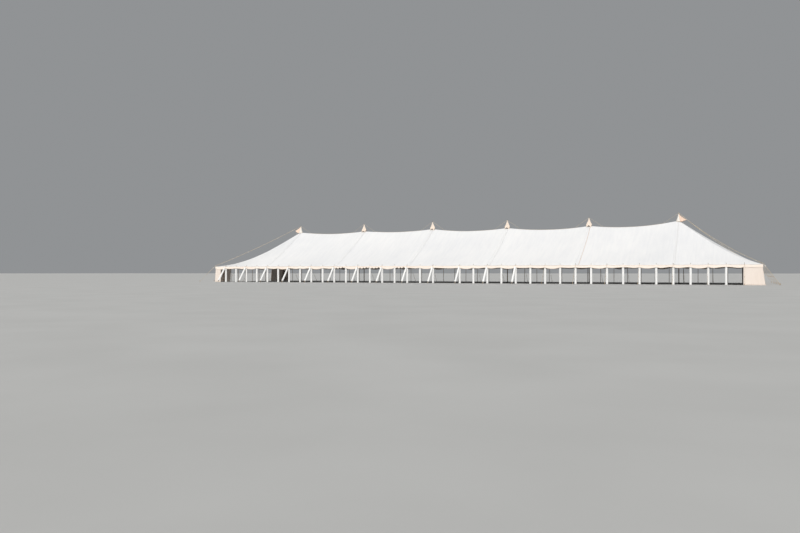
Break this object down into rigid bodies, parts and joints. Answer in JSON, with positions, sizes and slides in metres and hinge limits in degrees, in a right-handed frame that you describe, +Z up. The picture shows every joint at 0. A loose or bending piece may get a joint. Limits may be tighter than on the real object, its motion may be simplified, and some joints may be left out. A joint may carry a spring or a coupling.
{
  "type": "peg-and-pole marquee, 1:10 scale model",
  "caption": "Long white canvas marquee on king poles and sleeved side poles, with guys, pegs, valance and peach bonnets, as a 1:10 model.",
  "frame": {"origin": "on the ground under the middle of the ridge", "axes": "+X along the ridge towards the walled end, +Y towards the rear, +Z up"},
  "size_m": [8.378, 2.3786, 0.967],
  "materials": {
    "canvas": "matt white canvas, laced in sections",
    "wall_cloth": "matt cream canvas",
    "bonnet_cloth": "matt peach canvas",
    "sleeve_cloth": "matt white cloth, gathered",
    "timber": "oiled spruce pole",
    "rope": "laid hemp rope"
  },
  "bodies": {
    "root": {"roof_end_left": "canvas", "roof_section_1": "canvas", "roof_section_2": "canvas", "roof_section_3": "canvas", "roof_section_4": "canvas", "roof_section_5": "canvas", "roof_end_right": "canvas", "king_pole_1": "timber", "king_pole_2": "timber", "king_pole_3": "timber", "king_pole_4": "timber", "king_pole_5": "timber", "king_pole_6": "timber", "bonnet_1": "bonnet_cloth", "bonnet_2": "bonnet_cloth", "bonnet_3": "bonnet_cloth", "bonnet_4": "bonnet_cloth", "bonnet_5": "bonnet_cloth", "bonnet_6": "bonnet_cloth", "front_poles_1": "sleeve_cloth", "front_poles_2": "sleeve_cloth", "front_poles_3": "sleeve_cloth", "front_poles_4": "sleeve_cloth", "rear_poles_1": "timber", "rear_poles_2": "timber", "rear_poles_3": "timber", "rear_poles_4": "timber", "left_end_poles": "timber", "right_end_poles": "timber", "front_guys_left": "rope", "front_guys_right": "rope", "rear_guys_left": "rope", "rear_guys_right": "rope", "left_end_guys": "rope", "right_end_guys": "rope", "ridge_rope": "rope", "hip_rope_front_left": "rope", "hip_rope_rear_left": "rope", "hip_rope_front_right": "rope", "hip_rope_rear_right": "rope", "wall_front_right": "wall_cloth", "wall_end_right": "wall_cloth", "wall_rear_right": "wall_cloth", "wall_front_left": "wall_cloth", "wall_rear_left": "wall_cloth"}
  },
  "joints": []
}
